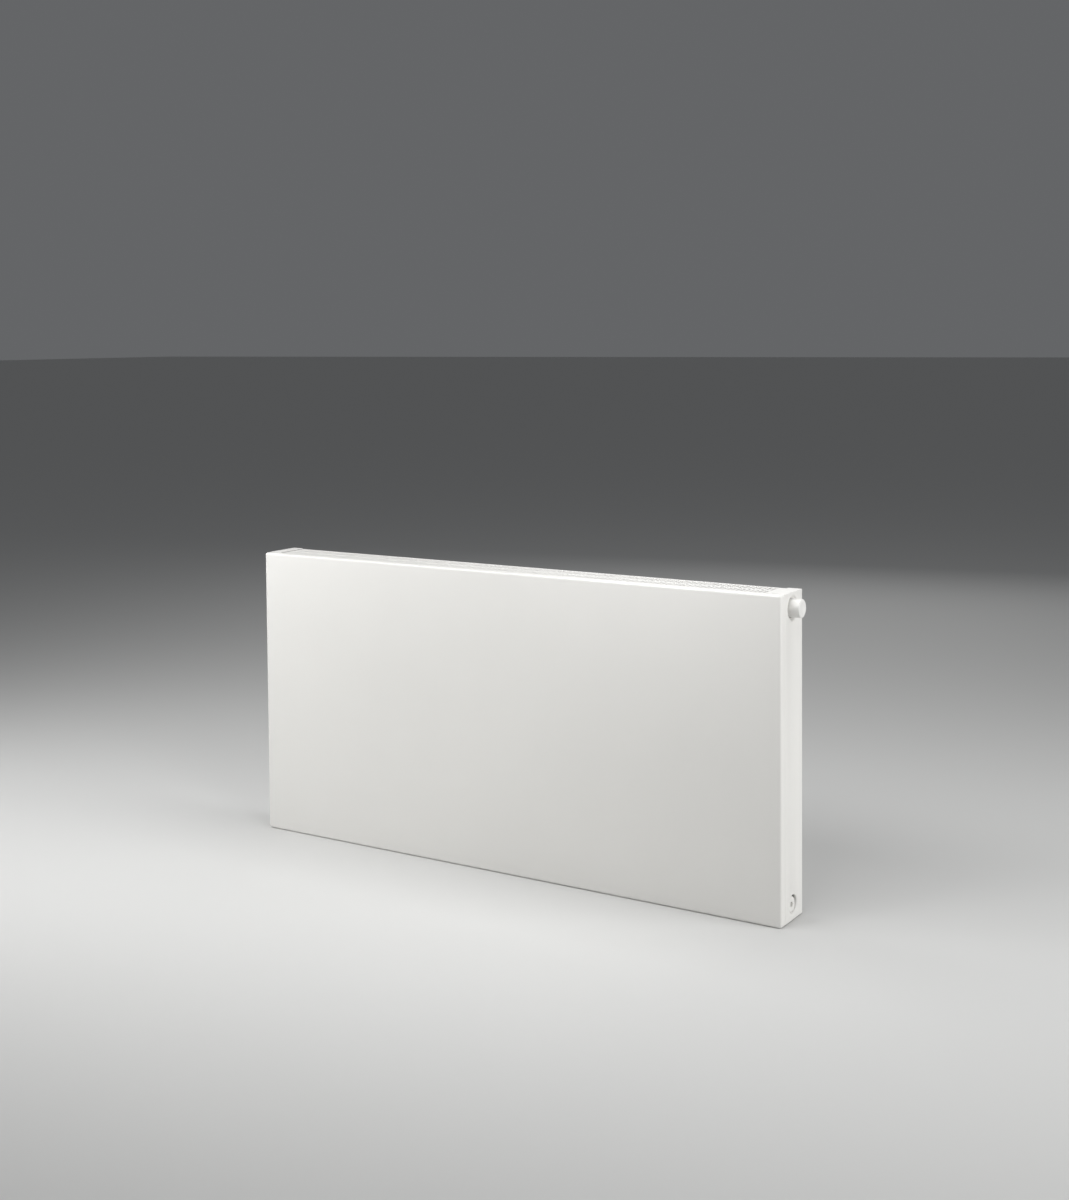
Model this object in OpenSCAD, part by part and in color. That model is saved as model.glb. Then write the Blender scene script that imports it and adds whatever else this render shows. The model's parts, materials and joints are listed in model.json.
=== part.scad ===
// Flat-fronted steel panel radiator with a built-in thermostatic valve.
// Frame: +X towards the valve end, front faces -Y, the wall is on the +Y side, +Z up.
// Origin: middle of the four hanging lugs, on the plane where they rest on the wall brackets.

/* [Body] */
// Overall length, side cover to side cover
body_l = 1200; // [900:50:2000]
// Overall height
body_h = 600; // [500:50:900]
// Depth from the front sheet to the rear edge of the side covers
body_d = 96; // [92:1:110]
// How far the hanging lugs stand behind the side covers
lug_d = 10; // [8:1:15]

/* [Front sheet] */
// Thickness of the flat front sheet
front_t = 1.0; // [0.8:0.1:1.5]
// Depth of the sheet's folded returns
front_return = 18; // [17:1:22]
// Outer radius of the folds
front_r = 4; // [2:0.5:6]

/* [Water panels] */
// Sheet thickness of the pressed skins
skin_t = 1.2; // [1:0.1:1.5]
// Thickness of one water panel, crest to crest
panel_t = 13; // [12:0.5:14]
// Pitch of the vertical water channels
channel_pitch = 33.3; // [30:0.1:40]
// Height of the horizontal headers
header_h = 32; // [28:1:36]
// Distance of the connection axes from the top and bottom edges
hub_inset = 29; // [27:1:30]
// Distance of the connection axes behind the front face
hub_depth = 53; // [50:1:56]

/* [Top grille and covers] */
// Sheet thickness of the covers and the grille
cover_t = 1.0; // [0.8:0.1:1.5]
// Pitch of the grille slots
slot_pitch = 9; // [8:0.5:14]
// Width of one slot
slot_w = 4.2; // [3:0.1:5]
// Radius of the opening for the valve
valve_opening_r = 22.5; // [21.5:0.5:24]
// Radius of the openings for the plugs
plug_opening_r = 17.5; // [17:0.5:20]

/* [Valve] */
// Radius of the hand cap
cap_r = 17; // [16.5:0.5:20]
// How far the cap stands out of the side cover
cap_out = 19; // [19:1:26]
// Stroke of the valve pin
stroke = 2.25; // [1:0.05:2.25]

/* [Connections] */
// Bore radius of the G 1/2 threads
thread_r = 9.3; // [9.2:0.05:9.5]
// Length of the G 1/2 threads
thread_l = 15; // [12:1:16]
// Spacing of the two bottom connections
socket_spacing = 50; // [45:1:60]

/* [Hidden] */

$fn = 48;
eps = 0.01;

// planes of the body
end_x = body_l / 2;
top_z = body_h / 2;
front_y = -lug_d - body_d;
rear_y = -lug_d;
hub_y = front_y + hub_depth;
hub_z = top_z - hub_inset;

// water panels
panel_x = end_x - 10;
panel_z = top_z - 5;
front_gap = 4;
front_panel_y = front_y + front_t + front_gap + panel_t / 2;
rear_panel_y = rear_y - 1 - panel_t / 2;
front_crest_y = front_panel_y + panel_t / 2;
rear_crest_y = rear_panel_y - panel_t / 2;
rim = 6;
channel_w = 24;
channel_slope = 4;
channel_count = floor((2 * panel_x - 3 * rim) / channel_pitch);
channel_x0 = -channel_pitch * (channel_count - 1) / 2;
bulge = panel_t / 2 - skin_t;
seam_lap = 0.6;

// tees, sockets and the feed pipe between the panels
port_r = 6;
tube_r = 11;
boss_r = 14;
socket_r = 13.5;
side_thread_l = 11;
tee_x = end_x - 33;
tee_mouth_x = end_x - 9;
supply_x = tee_x - socket_spacing;
socket_z = -top_z + 3;
saddle_t = 2;
pipe_r = 8;
pipe_bore_r = 6.5;
pipe_z0 = -hub_z + 8;
bend_r = 20;

// grille, covers and convectors
flange_w = 26;
edge_flange_w = 9;
grille_gap = 0.6;
grille_z = top_z - 1.5;
grille_x = end_x - flange_w - grille_gap;
grille_front_y = front_y + front_return + grille_gap;
grille_rear_y = rear_y - 1;
cover_front_y = front_y + front_return + 0.5;
dish_depth = 4;
dish_hole_r = cap_r + 1;
plug_opening_rise = 1.5;
fin_t = 0.6;
fin_depth = 28;
fin_base = 5;
fin_slope = 3;
fin_left_x = channel_x0 + 0.5 * channel_pitch;
fin_count = channel_count - 4;
fin_h = 2 * hub_z - header_h - 24;

// hanging lugs
lug_t = 2;
lug_half = 15;
lug_foot = 12;
lug_h = 36;
lug_x = channel_x0 + channel_pitch * (floor(channel_count * 0.84) + 0.5);
lug_z = hub_z - 60;

// valve stations along X, from the seat out to the end of the cap
housing_r = 14.5;
mouth_x = end_x - 22;
housing_x = mouth_x - 41;
chamber_x = mouth_x - 33.8;
chamber_r = 10;
seat_x = mouth_x - 31.6;
seat_r = 5;
seat_rim_r = 7;
port_x = mouth_x - 25.4;
insert_x = mouth_x - 18;
insert_r = 10.4;
collar_x = end_x - 2;
nose_x = end_x + 3;
nose_r = 9.5;
nut_x = end_x + 6.5;
pin_tip_x = end_x + 10;
pin_r = 1.5;
m30_r = 15;
gasket_t = 1.5;
cap_x0 = end_x - 10;
cap_x1 = end_x + cap_out;
cap_bevel = 2;
pusher_r = 4;

// spindle spring
spring_x0 = insert_x + 3;
spring_x1 = mouth_x - 3.5;
spring_bore_r = 5;
spring_turns = 5;
spring_wire_r = 0.4;
spring_mean_r = 4;
spring_steps = 14 * spring_turns;
spring_sides = 8;
spring_len = spring_x1 - spring_x0 - 2 * spring_wire_r - 0.2;

// plugs
plug_r = 9.25;
plug_shank = 10;
plug_head_r = 14.5;
plug_head_t = 5;
vent_head_x = tee_mouth_x + 4;
vent_nose_x = end_x - 0.5;
vent_nose_r = 6;
bleed_r = 2.95;

white = [0.93, 0.93, 0.91];
galvanised = [0.78, 0.79, 0.79];
brass = [0.78, 0.62, 0.32];
nickel = [0.75, 0.74, 0.71];
rubber = [0.08, 0.08, 0.08];
steel = [0.62, 0.63, 0.65];
ring_grey = [0.45, 0.47, 0.5];

// a block from its lowest corner to its highest corner
module block(a, b) {
    translate(a) cube(b - a);
}

// a round bar along X from x0 to x1, on the hub axis at height z
module bar_x(x0, x1, r, z = hub_z) {
    translate([x0, hub_y, z]) rotate([0, 90, 0]) cylinder(h = x1 - x0, r = r);
}

// a round bar along Y from y0 to y1
module bar_y(x, y0, y1, r, z) {
    translate([x, y0, z]) rotate([-90, 0, 0]) cylinder(h = y1 - y0, r = r);
}

// a round bar along Z from z0 to z1, on the hub axis's depth
module bar_z(x, z0, z1, r) {
    translate([x, hub_y, z0]) cylinder(h = z1 - z0, r = r);
}

// a hexagonal bar along X, af is the width across flats
module hex_x(x0, x1, af, z = hub_z) {
    translate([x0, hub_y, z]) rotate([0, 90, 0]) cylinder(h = x1 - x0, r = af / sqrt(3), $fn = 6);
}

// ---------- front sheet

// the sheet's outline seen from above, in X and Y, with its two front corners rounded
module plan_outline(half, y0, depth, r) {
    translate([-half, y0 + r]) square([2 * half, depth - r]);
    translate([-half + r, y0]) square([2 * (half - r), r + eps]);
    for (s = [-1, 1]) translate([s * (half - r), y0 + r]) circle(r = r);
}

// the sheet's outline seen from the end, in Y and Z
module side_outline(half, y0, depth, r) {
    translate([y0 + r, -half]) square([depth - r, 2 * half]);
    translate([y0, -half + r]) square([r + eps, 2 * (half - r)]);
    for (s = [-1, 1]) translate([y0 + r, s * (half - r)]) circle(r = r);
}

// block with all four front edges rounded, shrunk by inset on every side but the rear
module front_solid(inset, depth) {
    r = front_r - inset;
    x = end_x - inset;
    z = top_z - inset;
    y0 = front_y + inset;
    intersection() {
        translate([0, 0, -z]) linear_extrude(height = 2 * z) plan_outline(x, y0, depth, r);
        translate([-x, 0, 0]) rotate([90, 0, 90])
            linear_extrude(height = 2 * x) side_outline(z, y0, depth, r);
    }
}

module front_sheet() {
    color(white) difference() {
        front_solid(0, front_return);
        front_solid(front_t, front_return + 1);
    }
}

// ---------- water panels

// all the channels on one side of the seam plane, in X and Y, out is how far they bulge
module channel_section(out, half_w) {
    top = half_w - channel_slope;
    for (i = [0 : channel_count - 1])
        translate([channel_x0 + i * channel_pitch, 0])
            polygon([[-half_w, -seam_lap], [-half_w, 0], [-top, out],
                     [top, out], [half_w, 0], [half_w, -seam_lap]]);
}

// one header, in Y and Z
module header_section(out, half_h) {
    top = half_h - channel_slope;
    polygon([[-seam_lap, -half_h], [0, -half_h], [out, -top],
             [out, top], [0, half_h], [-seam_lap, half_h]]);
}

// channels and both headers as one solid, shrunk by inset
module channels(inset) {
    out = bulge + skin_t - inset;
    header_x = panel_x - rim - inset;
    translate([0, 0, -hub_z])
        linear_extrude(height = 2 * hub_z) channel_section(out, channel_w / 2 - inset);
    for (s = [-1, 1]) translate([-header_x, 0, s * hub_z]) rotate([90, 0, 90])
        linear_extrude(height = 2 * header_x) header_section(out, header_h / 2 - inset);
}

// one pressed skin: seam plane at y = 0, bulging towards +Y, with ports where the tees are welded on
module skin(ports) {
    difference() {
        union() {
            block([-panel_x, 0, -panel_z], [panel_x, skin_t, panel_z]);
            difference() {
                channels(0);
                block([-panel_x, -1, -panel_z], [panel_x, 0, panel_z]);
            }
        }
        channels(skin_t);
        if (ports) {
            for (p = [[-tee_x, hub_z], [-tee_x, -hub_z], [tee_x, -hub_z], [port_x, hub_z]])
                bar_y(p[0], -1, panel_t, port_r, p[1]);
        }
    }
}

module front_panel_outer_skin() {
    color(white) translate([0, front_panel_y, 0]) mirror([0, 1, 0]) skin(false);
}

module front_panel_inner_skin() {
    color(white) translate([0, front_panel_y, 0]) skin(true);
}

module rear_panel_inner_skin() {
    color(white) translate([0, rear_panel_y, 0]) mirror([0, 1, 0]) skin(true);
}

module rear_panel_outer_skin() {
    color(white) translate([0, rear_panel_y, 0]) skin(false);
}

// ---------- convectors, one on each water panel

// one fold in X and Y: base on a channel crest, leg back, crest, leg forward
function fold_points(x) = let(b = channel_pitch / 2, c = b - fin_base - fin_slope)
    [[x - b, 0], [x - b + fin_base, 0], [x - c, fin_depth - fin_t],
     [x + c, fin_depth - fin_t], [x + b - fin_base, 0], [x + b, 0]];

// folded sheet with its bases at y = 0 and its crests towards +Y
module fins() {
    near = [for (i = [0 : fin_count - 1]) each fold_points(fin_left_x + i * channel_pitch)];
    far = [for (k = [len(near) - 1 : -1 : 0]) near[k] + [0, fin_t]];
    translate([0, 0, -fin_h / 2]) linear_extrude(height = fin_h) polygon(concat(near, far));
}

module front_convector() {
    color(white) translate([0, front_crest_y, 0]) fins();
}

module rear_convector() {
    color(white) translate([0, rear_crest_y, 0]) mirror([0, 1, 0]) fins();
}

// ---------- top grille and its clips

slot_end = 4;
slot_margin = 12;
front_lip_h = 8;
rear_lip = 1.5;
clip_half_w = 9;
clip_h = 17;

module grille_plate() {
    mid_y = (grille_front_y + grille_rear_y) / 2;
    rows = [[grille_front_y + slot_end, mid_y - slot_end / 2],
            [mid_y + slot_end / 2, grille_rear_y - slot_end - 1]];
    count = floor(2 * (grille_x - slot_margin) / slot_pitch);
    difference() {
        translate([-grille_x, grille_front_y]) square([2 * grille_x, grille_rear_y - 1 - grille_front_y]);
        for (row = rows, i = [0 : count - 1])
            translate([(i - (count - 1) / 2) * slot_pitch - slot_w / 2, row[0]])
                square([slot_w, row[1] - row[0]]);
    }
}

module top_grille() {
    color(white) {
        translate([0, 0, grille_z - cover_t]) linear_extrude(height = cover_t) grille_plate();
        block([-grille_x, grille_front_y, grille_z - front_lip_h],
              [grille_x, grille_front_y + cover_t, grille_z]);
        block([-grille_x, grille_rear_y - rear_lip, grille_z - 2 * rear_lip],
              [grille_x, grille_rear_y, grille_z - cover_t / 2]);
    }
}

module grille_clips() {
    y = (front_panel_y + rear_panel_y) / 2;
    w = clip_half_w;
    under = grille_z - cover_t;
    color(galvanised) for (x = [-0.78, -0.26, 0.26, 0.78] * (end_x - 40))
        translate([x, 0, 0]) difference() {
            block([-w, y - w, under - clip_h], [w, y + w, under]);
            block([-w - 1, y - w + 1, under - clip_h - 1], [w + 1, y + w - 1, under - 1]);
        }
}

// ---------- side covers

// dished wall round the valve, from the cover's face down to the hole for the cap
module dish() {
    r0 = valve_opening_r;
    r1 = dish_hole_r;
    translate([end_x, hub_y, hub_z]) rotate([0, 90, 0]) rotate_extrude()
        polygon([[r0, 0], [r0 + 1, 0], [r0 + 1, -cover_t], [r1 + 2, -dish_depth - cover_t],
                 [r1, -dish_depth - cover_t], [r1, -dish_depth], [r1 + 1.5, -dish_depth]]);
}

// folded side cover for the +X end, openings are [radius, z] pairs
module side_cover(openings) {
    inner = end_x - cover_t;
    z0 = -top_z + 1;
    flange_x = end_x - flange_w - 1;
    difference() {
        block([end_x - flange_w, cover_front_y, z0], [end_x, rear_y, top_z]);
        block([flange_x, cover_front_y + cover_t, z0 - 1], [inner, rear_y - cover_t, top_z - cover_t]);
        block([flange_x, cover_front_y - 1, z0 - 1], [end_x - edge_flange_w, rear_y + 1, top_z - cover_t]);
        for (o = openings) bar_x(inner - 1, end_x + 1, o[0], o[1]);
    }
}

module side_cover_right() {
    color(white) {
        side_cover([[valve_opening_r, hub_z], [plug_opening_r, -hub_z + plug_opening_rise]]);
        dish();
    }
}

module side_cover_left() {
    color(white) mirror([1, 0, 0])
        side_cover([[plug_opening_r, hub_z], [plug_opening_r, -hub_z + plug_opening_rise]]);
}

// angled spring clips between the covers and the rear water panel
module cover_clips() {
    h = 12;
    inner = end_x - cover_t;
    y1 = rear_panel_y - 4;
    color(galvanised) for (s = [0, 1], z = [-0.55, 0.55] * top_z) mirror([s, 0, 0]) translate([0, 0, z]) {
        block([inner - 1, y1 - 18, -h], [inner, y1, h]);
        block([inner - 8, y1 - 1, -h], [inner, y1, h]);
    }
}

// ---------- hanging lugs

// hat-shaped lug welded on the rear panel; the bracket's hook goes up behind it
module lug(x, z) {
    y0 = rear_panel_y + panel_t / 2;
    outer = lug_half + lug_t / 2;
    inner = lug_half - lug_t / 2;
    color(white) translate([x, 0, z - lug_h / 2]) linear_extrude(height = lug_h) difference() {
        union() {
            translate([-inner - lug_foot - lug_t, y0]) square([2 * (inner + lug_foot + lug_t), lug_t]);
            translate([-outer, y0]) square([2 * outer, -y0]);
        }
        translate([-inner, y0 - 1]) square([2 * inner, 1 - y0 - lug_t]);
    }
}

module lug_top_left() {
    lug(-lug_x, lug_z);
}

module lug_top_right() {
    lug(lug_x, lug_z);
}

module lug_bottom_left() {
    lug(-lug_x, -lug_z);
}

module lug_bottom_right() {
    lug(lug_x, -lug_z);
}

// ---------- tees, sockets and feed pipe

// round bar between the facing skins of the two water panels, lap longer at each end
module cross_bar(x, z, r, lap = 0) {
    bar_y(x, front_crest_y - lap, rear_crest_y + lap, r, z);
}

// corner tee of the +X end with its threaded side mouth
module side_tee(z) {
    difference() {
        union() {
            cross_bar(tee_x, z, tube_r);
            bar_x(tee_x - 4, tee_mouth_x, boss_r, z);
        }
        cross_bar(tee_x, z, port_r, 1);
        bar_x(tee_mouth_x - side_thread_l, tee_mouth_x + 1, thread_r, z);
        bar_x(tee_x, tee_mouth_x, port_r - 1, z);
    }
}

module top_left_tee() {
    color(white) mirror([1, 0, 0]) side_tee(hub_z);
}

module bottom_left_tee() {
    color(white) mirror([1, 0, 0]) side_tee(-hub_z);
}

// bore of a downward socket: thread at the mouth, narrower above
module down_bore(x, top) {
    bar_z(x, socket_z - 1, socket_z + thread_l, thread_r);
    bar_z(x, socket_z, top, port_r - 1.5);
}

module return_tee() {
    color(white) difference() {
        union() {
            side_tee(-hub_z);
            bar_z(tee_x, socket_z, -hub_z - port_r - 1, socket_r);
        }
        bar_x(tee_mouth_x - side_thread_l, tee_mouth_x + 1, thread_r, -hub_z);
        down_bore(tee_x, -hub_z);
    }
}

module supply_socket() {
    color(white) difference() {
        bar_z(supply_x, socket_z, pipe_z0, socket_r);
        down_bore(supply_x, pipe_z0 + 1);
    }
}

// saddle plate that ties the two bottom sockets together
module connection_bracket() {
    z = socket_z + 6;
    half_w = 17;
    color(white) difference() {
        block([supply_x - half_w, hub_y - half_w, z], [tee_x + half_w, hub_y + half_w, z + saddle_t]);
        for (x = [supply_x, tee_x]) bar_z(x, z - 1, z + saddle_t + 1, socket_r);
    }
}

module pipe_run(r) {
    bar_z(supply_x, pipe_z0, hub_z - bend_r, r);
    translate([supply_x + bend_r, hub_y, hub_z - bend_r]) rotate([90, 0, 0]) rotate([0, 0, 90])
        rotate_extrude(angle = 90) translate([bend_r, 0]) circle(r = r);
    bar_x(supply_x + bend_r, housing_x, r);
}

module feed_pipe() {
    color(white) difference() {
        pipe_run(pipe_r);
        pipe_run(pipe_bore_r);
    }
}

// ---------- valve

module valve_housing() {
    color(white) difference() {
        union() {
            bar_x(housing_x, mouth_x, housing_r);
            cross_bar(port_x, hub_z, tube_r);
        }
        bar_x(insert_x, mouth_x + 1, insert_r + 0.08);
        difference() {
            bar_x(chamber_x, insert_x + eps, chamber_r);
            difference() {
                bar_x(chamber_x - 1, seat_x, seat_rim_r);
                bar_x(chamber_x - 2, seat_x + 1, seat_r);
            }
        }
        bar_x(housing_x - 1, chamber_x + 1, seat_r);
        cross_bar(port_x, hub_z, port_r, 1);
    }
}

module valve_insert() {
    hex_x0 = mouth_x + gasket_t;
    hex_x1 = hex_x0 + 6.5;
    gland_x = collar_x - 6;
    color(brass) difference() {
        union() {
            bar_x(insert_x, hex_x0, insert_r);
            hex_x(hex_x0, hex_x1, 27);
            bar_x(hex_x1, collar_x, m30_r);
            bar_x(collar_x, nose_x, nose_r);
        }
        bar_x(insert_x - 1, nose_x, pin_r + 0.1);
        bar_x(spring_x0, mouth_x - 1, spring_bore_r);
        bar_x(gland_x, nose_x + 1, spring_bore_r);
    }
}

module insert_gasket() {
    color(rubber) difference() {
        bar_x(mouth_x, mouth_x + gasket_t, 13.5);
        bar_x(mouth_x - 1, mouth_x + gasket_t + 1, insert_r + 0.1);
    }
}

// ring seal round the pin at the bottom of the gland
module spindle_seal() {
    r = 0.9;
    color(rubber) translate([collar_x - 6 + r + 0.05, hub_y, hub_z]) rotate([0, 90, 0])
        rotate_extrude() translate([pin_r + 0.05 + r, 0]) circle(r = r, $fn = 24);
}

module gland_nut() {
    color(brass) difference() {
        union() {
            bar_x(collar_x - 3.8, nose_x, spring_bore_r - 0.1);
            hex_x(nose_x, nut_x, 12);
        }
        bar_x(collar_x - 5, nut_x + 1, pin_r + 0.05);
    }
}

// grooved ring that sets the valve's flow, with a key slot across its face
module preset_ring() {
    x0 = collar_x + 0.3;
    x1 = nose_x + 1;
    rim_r = 12.5;
    groove = 0.5;
    color(ring_grey) difference() {
        bar_x(x0, x1, rim_r);
        bar_x(x0 - 1, x1 + 1, nose_r + 0.05);
        for (a = [0 : 15 : 345]) translate([0, hub_y, hub_z]) rotate([a, 0, 0])
            block([x0 - 1, -groove, rim_r - groove], [x1 + 1, groove, rim_r + 1]);
        translate([0, hub_y, hub_z]) block([nose_x, -0.8, nose_r - 1], [x1 + 1, 0.8, rim_r - 1.3]);
    }
}

module valve_spindle() {
    color(steel) {
        bar_x(seat_x + 3, pin_tip_x, pin_r);
        bar_x(spring_x1, spring_x1 + 1.5, spring_bore_r - 0.4);
        bar_x(seat_x + 6, seat_x + 7.2, 6.2);
    }
}

module valve_disc() {
    color(rubber) difference() {
        bar_x(seat_x + stroke + 0.3, seat_x + 6, 6.5);
        bar_x(seat_x + 3, seat_x + 7, pin_r);
    }
}

// ring k of the spring's wire, which follows a helix round the pin
function helix_ring(k) = let(a = 360 * spring_turns * k / spring_steps,
                             x = spring_x0 + spring_wire_r + 0.1 + spring_len * k / spring_steps)
    [for (j = [0 : spring_sides - 1])
        let(b = 360 * j / spring_sides, r = spring_mean_r + spring_wire_r * cos(b))
            [x + spring_wire_r * sin(b), hub_y + r * cos(a), hub_z + r * sin(a)]];

module valve_spring() {
    points = [for (k = [0 : spring_steps]) each helix_ring(k)];
    sides = [for (k = [0 : spring_steps - 1], j = [0 : spring_sides - 1])
        let(a = k * spring_sides + j, b = k * spring_sides + (j + 1) % spring_sides)
        [a, a + spring_sides, b + spring_sides, b]];
    first = [for (j = [0 : spring_sides - 1]) j];
    last = [for (j = [spring_sides - 1 : -1 : 0]) spring_steps * spring_sides + j];
    color(steel) polyhedron(points = points, faces = concat([first], sides, [last]));
}

module valve_cap() {
    color(white) difference() {
        union() {
            bar_x(cap_x0, cap_x1 - cap_bevel, cap_r);
            translate([cap_x1 - cap_bevel, hub_y, hub_z]) rotate([0, 90, 0])
                cylinder(h = cap_bevel, r1 = cap_r, r2 = cap_r - cap_bevel);
        }
        difference() {
            union() {
                bar_x(cap_x0 - 1, nose_x + 2, m30_r + 0.06);
                bar_x(nose_x + 1, cap_x1 - 2.6, m30_r - 1);
            }
            bar_x(pin_tip_x + 0.05, cap_x1, pusher_r);
        }
    }
}

// ---------- plugs and vent

// plug with a round head and a hexagon socket, for the +X end
module blind_plug(z) {
    head_x = tee_mouth_x + gasket_t;
    color(white) difference() {
        union() {
            bar_x(tee_mouth_x - plug_shank, head_x, plug_r, z);
            bar_x(head_x, head_x + plug_head_t, plug_head_r, z);
        }
        hex_x(tee_mouth_x - 2, head_x + plug_head_t + 1, 10, z);
    }
}

module blind_plug_right() {
    blind_plug(-hub_z);
}

module blind_plug_left() {
    mirror([1, 0, 0]) blind_plug(-hub_z);
}

module plug_gaskets() {
    color(rubber) for (p = [[0, -hub_z], [1, -hub_z], [1, hub_z]]) mirror([p[0], 0, 0]) difference() {
        bar_x(tee_mouth_x, tee_mouth_x + gasket_t, 12.5, p[1]);
        bar_x(tee_mouth_x - 1, tee_mouth_x + gasket_t + 1, plug_r + 0.05, p[1]);
    }
}

module vent_plug() {
    color(nickel) mirror([1, 0, 0]) difference() {
        union() {
            bar_x(tee_mouth_x - plug_shank, tee_mouth_x + gasket_t, plug_r);
            hex_x(tee_mouth_x + gasket_t, vent_head_x, 22);
            bar_x(vent_head_x, vent_nose_x, vent_nose_r);
        }
        bar_x(tee_mouth_x - plug_shank - 1, vent_nose_x + 1, bleed_r + 0.05);
        bar_x(vent_nose_x - 5, vent_nose_x + 1, vent_nose_r - 2);
    }
}

// screw with a square head for the bleed key
module bleed_screw() {
    head_x = vent_nose_x - 4.8;
    half = 2.5;
    color(steel) mirror([1, 0, 0]) {
        bar_x(tee_mouth_x - 6, head_x, bleed_r);
        translate([0, hub_y, hub_z]) block([head_x, -half, -half], [vent_nose_x - 0.3, half, half]);
    }
}

// plastic ring that swivels on the vent plug's nose, with its spout hanging down
module bleed_nozzle() {
    x0 = vent_head_x + 0.3;
    x1 = vent_nose_x - 0.2;
    mid = (x0 + x1) / 2;
    spout_r = 1.9;
    spout_bore_r = 1.1;
    color(white) mirror([1, 0, 0]) difference() {
        union() {
            bar_x(x0, x1, 9);
            bar_z(mid, hub_z - 14, hub_z - 7.5, spout_r);
        }
        bar_x(x0 - 1, x1 + 1, vent_nose_r + 0.05);
        bar_z(mid, hub_z - 15, hub_z - 3, spout_bore_r);
    }
}

front_sheet();
front_panel_outer_skin();
front_panel_inner_skin();
rear_panel_inner_skin();
rear_panel_outer_skin();
front_convector();
rear_convector();
top_grille();
grille_clips();
side_cover_left();
side_cover_right();
cover_clips();
lug_top_left();
lug_top_right();
lug_bottom_left();
lug_bottom_right();
top_left_tee();
bottom_left_tee();
return_tee();
supply_socket();
connection_bracket();
feed_pipe();
valve_housing();
valve_insert();
insert_gasket();
spindle_seal();
gland_nut();
preset_ring();
valve_spindle();
valve_disc();
valve_spring();
valve_cap();
vent_plug();
bleed_screw();
bleed_nozzle();
blind_plug_left();
blind_plug_right();
plug_gaskets();
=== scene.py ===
"""Looks of the flat-fronted panel radiator with its built-in valve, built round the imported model."""
import json
import math
from math import cos, pi, radians, sin

import bmesh
import bpy
from mathutils import Matrix, Vector


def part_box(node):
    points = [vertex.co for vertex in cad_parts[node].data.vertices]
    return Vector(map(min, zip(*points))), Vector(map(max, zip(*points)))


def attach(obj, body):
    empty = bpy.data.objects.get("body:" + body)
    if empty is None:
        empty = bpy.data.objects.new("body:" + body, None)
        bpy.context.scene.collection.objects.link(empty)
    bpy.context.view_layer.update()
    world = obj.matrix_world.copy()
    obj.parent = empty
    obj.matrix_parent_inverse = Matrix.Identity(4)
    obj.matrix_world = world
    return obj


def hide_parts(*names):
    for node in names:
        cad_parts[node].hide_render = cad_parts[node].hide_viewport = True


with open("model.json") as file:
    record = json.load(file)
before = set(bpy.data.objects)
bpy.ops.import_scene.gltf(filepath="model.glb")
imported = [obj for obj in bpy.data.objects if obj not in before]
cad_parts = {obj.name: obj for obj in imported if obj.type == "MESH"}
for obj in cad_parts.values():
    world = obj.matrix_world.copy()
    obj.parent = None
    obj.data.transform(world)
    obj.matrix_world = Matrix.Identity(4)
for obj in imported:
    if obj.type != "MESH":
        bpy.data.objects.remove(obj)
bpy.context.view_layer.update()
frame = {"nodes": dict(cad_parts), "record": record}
scene = bpy.context.scene

MM = 0.001

# ---------------------------------------------------------------- places, read from the frame

SHEET_LOW, SHEET_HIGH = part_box("front_sheet")
COVER_LOW, COVER_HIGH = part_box("side_cover_right")
CAP_LOW, CAP_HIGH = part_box("valve_cap")
GRILLE_LOW, GRILLE_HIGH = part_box("top_grille")
SKIN_LOW, SKIN_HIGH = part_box("rear_panel_outer_skin")
PLUG_LOW, PLUG_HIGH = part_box("blind_plug_right")

END_X = SHEET_HIGH[0]
FRONT_Y = SHEET_LOW[1]
TOP_Z = SHEET_HIGH[2]
HUB_Y = (CAP_LOW[1] + CAP_HIGH[1]) / 2
HUB_Z = (CAP_LOW[2] + CAP_HIGH[2]) / 2
MOUNT_X = {m["name"]: m["pos_m"][0] for m in frame["record"]["mounts"]}
SUPPLY_X = MOUNT_X["supply_connection"]
RETURN_X = MOUNT_X["return_connection"]


# ---------------------------------------------------------------- camera, floor and lights

def look_from(azimuth, elevation):
    """Unit vector from the object towards a camera at these angles, in degrees."""
    a = radians(azimuth)
    e = radians(elevation)
    return Vector((sin(a) * cos(e), -cos(a) * cos(e), sin(e)))


def add_camera():
    place = Vector((1.767, -2.785, 0.768))
    back = look_from(32.07, 2.77)
    right = Vector((0, 0, 1)).cross(back).normalized()
    up = back.cross(right)
    turn = Matrix((right, up, back)).transposed() @ Matrix.Rotation(radians(-0.46), 3, "Z")
    camera = bpy.data.objects.new("camera", bpy.data.cameras.new("camera"))
    camera.data.sensor_width = 36
    camera.data.lens = 49.32
    camera.data.shift_y = -0.1561
    camera.matrix_world = Matrix.Translation(place) @ turn.to_4x4()
    scene.collection.objects.link(camera)
    scene.camera = camera


def add_area_light(name, place, target, size, power):
    light = bpy.data.lights.new(name, "AREA")
    light.shape = "RECTANGLE"
    light.size, light.size_y = size
    light.energy = power
    lamp = bpy.data.objects.new(name, light)
    lamp.location = place
    lamp.rotation_euler = (Vector(target) - Vector(place)).to_track_quat("-Z", "Y").to_euler()
    scene.collection.objects.link(lamp)


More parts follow.
